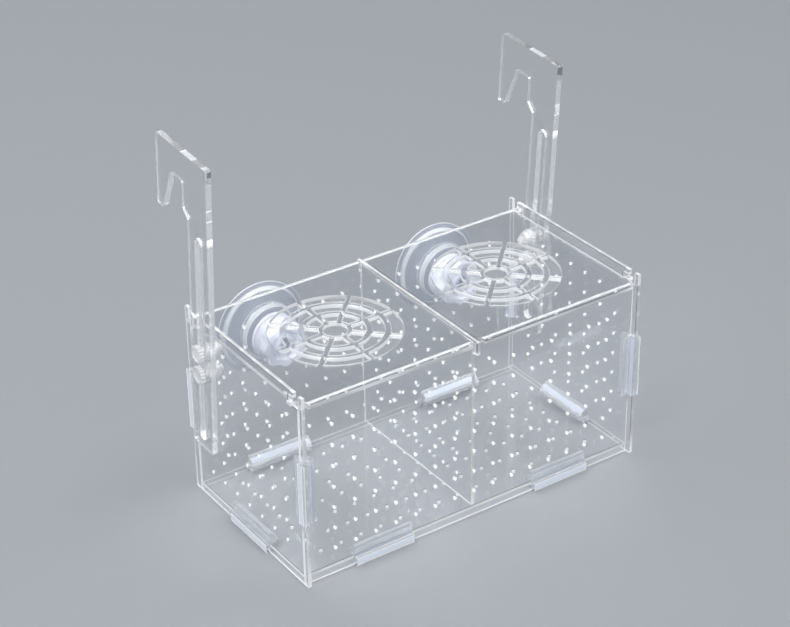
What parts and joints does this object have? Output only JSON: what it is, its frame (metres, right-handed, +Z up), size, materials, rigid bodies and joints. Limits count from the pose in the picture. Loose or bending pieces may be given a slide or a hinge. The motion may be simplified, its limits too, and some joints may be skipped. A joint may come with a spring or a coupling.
{
  "type": "fish breeding box",
  "caption": "Clear hang-on box for rearing young fish in a tank, with a lift-out divider, two vented lock-in lids, height-adjustable rim hooks, corner clips and suction cups.",
  "frame": {"origin": "middle of the overall footprint in X and Y, at the underside of the lower corner clips", "axes": "+X along the box to the right, +Y to the back where the tank glass is, +Z up"},
  "size_m": [0.212, 0.1204, 0.1971],
  "materials": {
    "sheet_acrylic": "clear polished sheet",
    "hook_acrylic": "clear polished sheet",
    "clip_plastic": "translucent bluish extrusion",
    "cup_vinyl": "clear soft vinyl",
    "knob_vinyl": "clear glossy vinyl",
    "screw_plastic": "clear moulded plastic"
  },
  "bodies": {
    "box": {"side_panel_left": "sheet_acrylic", "side_panel_right": "sheet_acrylic", "front_panel": "sheet_acrylic", "back_panel": "sheet_acrylic", "bottom_panel": "sheet_acrylic", "clip_left_front": "clip_plastic", "clip_left_back": "clip_plastic", "clip_left_bottom": "clip_plastic", "clip_right_front": "clip_plastic", "clip_right_back": "clip_plastic", "clip_right_bottom": "clip_plastic", "clip_front_left": "clip_plastic", "clip_front_right": "clip_plastic", "clip_rear_left": "clip_plastic", "clip_rear_right": "clip_plastic", "suction_cup_left": "cup_vinyl", "suction_cup_right": "cup_vinyl"},
    "divider": {"divider": "sheet_acrylic"},
    "lid_left": {"lid_left": "sheet_acrylic"},
    "lid_right": {"lid_right": "sheet_acrylic"},
    "hook_left": {"hook_left": "hook_acrylic"},
    "hook_right": {"hook_right": "hook_acrylic"},
    "screw_left_upper": {"screw_left_upper": "screw_plastic"},
    "screw_left_lower": {"screw_left_lower": "screw_plastic"},
    "screw_right_upper": {"screw_right_upper": "screw_plastic"},
    "screw_right_lower": {"screw_right_lower": "screw_plastic"},
    "nut_left_upper": {"nut_left_upper": "screw_plastic"},
    "nut_left_lower": {"nut_left_lower": "screw_plastic"},
    "nut_right_upper": {"nut_right_upper": "screw_plastic"},
    "nut_right_lower": {"nut_right_lower": "screw_plastic"},
    "cup_knob_left": {"cup_knob_left": "knob_vinyl"},
    "cup_knob_right": {"cup_knob_right": "knob_vinyl"}
  },
  "joints": [
    {"name": "divider_lift", "type": "slide", "parent": "box", "child": "divider", "axis": [0, 0, 1], "range_m": [0, 0.1]},
    {"name": "lid_left_unlock", "type": "slide", "parent": "box", "child": "lid_left", "axis": [0, -1, 0], "range_m": [0, 0.004]},
    {"name": "lid_right_unlock", "type": "slide", "parent": "box", "child": "lid_right", "axis": [0, -1, 0], "range_m": [0, 0.004]},
    {"name": "hook_left_height", "type": "slide", "parent": "box", "child": "hook_left", "axis": [0, -0.0663, 0.9978], "range_m": [-0.061, 0.036]},
    {"name": "hook_right_height", "type": "slide", "parent": "box", "child": "hook_right", "axis": [0, -0.0663, 0.9978], "range_m": [-0.061, 0.036]},
    {"name": "screw_left_upper_turn", "type": "hinge", "parent": "box", "child": "screw_left_upper", "pos_m": [-0.1, 0.02755, 0.0903], "axis": [-1, 0, 0], "continuous": true},
    {"name": "nut_left_upper_turn", "type": "hinge", "parent": "box", "child": "nut_left_upper", "pos_m": [-0.097, 0.02755, 0.0903], "axis": [-1, 0, 0], "continuous": true},
    {"name": "screw_left_lower_turn", "type": "hinge", "parent": "box", "child": "screw_left_lower", "pos_m": [-0.1, 0.02755, 0.0786], "axis": [-1, 0, 0], "continuous": true},
    {"name": "nut_left_lower_turn", "type": "hinge", "parent": "box", "child": "nut_left_lower", "pos_m": [-0.097, 0.02755, 0.0786], "axis": [-1, 0, 0], "continuous": true},
    {"name": "screw_right_upper_turn", "type": "hinge", "parent": "box", "child": "screw_right_upper", "pos_m": [0.1, 0.02755, 0.0903], "axis": [1, 0, 0], "continuous": true},
    {"name": "nut_right_upper_turn", "type": "hinge", "parent": "box", "child": "nut_right_upper", "pos_m": [0.097, 0.02755, 0.0903], "axis": [1, 0, 0], "continuous": true},
    {"name": "screw_right_lower_turn", "type": "hinge", "parent": "box", "child": "screw_right_lower", "pos_m": [0.1, 0.02755, 0.0786], "axis": [1, 0, 0], "continuous": true},
    {"name": "nut_right_lower_turn", "type": "hinge", "parent": "box", "child": "nut_right_lower", "pos_m": [0.097, 0.02755, 0.0786], "axis": [1, 0, 0], "continuous": true},
    {"name": "cup_knob_left_turn", "type": "hinge", "parent": "box", "child": "cup_knob_left", "pos_m": [-0.054, 0.03585, 0.07605], "axis": [0, 1, 0], "continuous": true},
    {"name": "cup_knob_right_turn", "type": "hinge", "parent": "box", "child": "cup_knob_right", "pos_m": [0.054, 0.03585, 0.07605], "axis": [0, 1, 0], "continuous": true}
  ]
}
